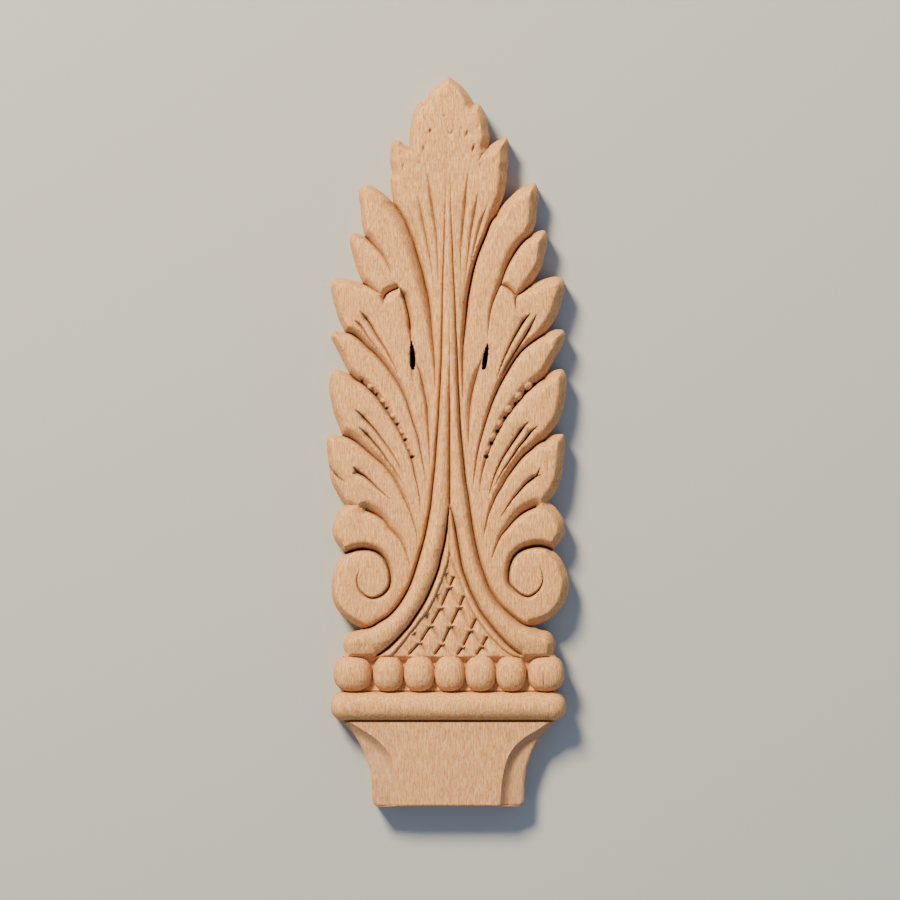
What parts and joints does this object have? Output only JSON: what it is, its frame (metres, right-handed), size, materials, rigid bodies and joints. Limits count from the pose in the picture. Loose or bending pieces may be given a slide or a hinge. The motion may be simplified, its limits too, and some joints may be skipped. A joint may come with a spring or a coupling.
{
  "type": "acanthus finial",
  "caption": "Flat-backed carved beech onlay: an acanthus leaf with scrolls and a lattice over a bead row, a half-round moulding and a waisted foot.",
  "frame": {"origin": "middle of the flat back", "axes": "+X across the board, +Y from the foot to the leaf's tip, +Z out of the carved face"},
  "size_m": [0.0664, 0.2, 0.012],
  "materials": {
    "beech": "unfinished carved beech, matte, with fine straight grain along Y and darker cuts"
  },
  "bodies": {
    "root": {"acanthus_finial": "beech"}
  },
  "joints": []
}
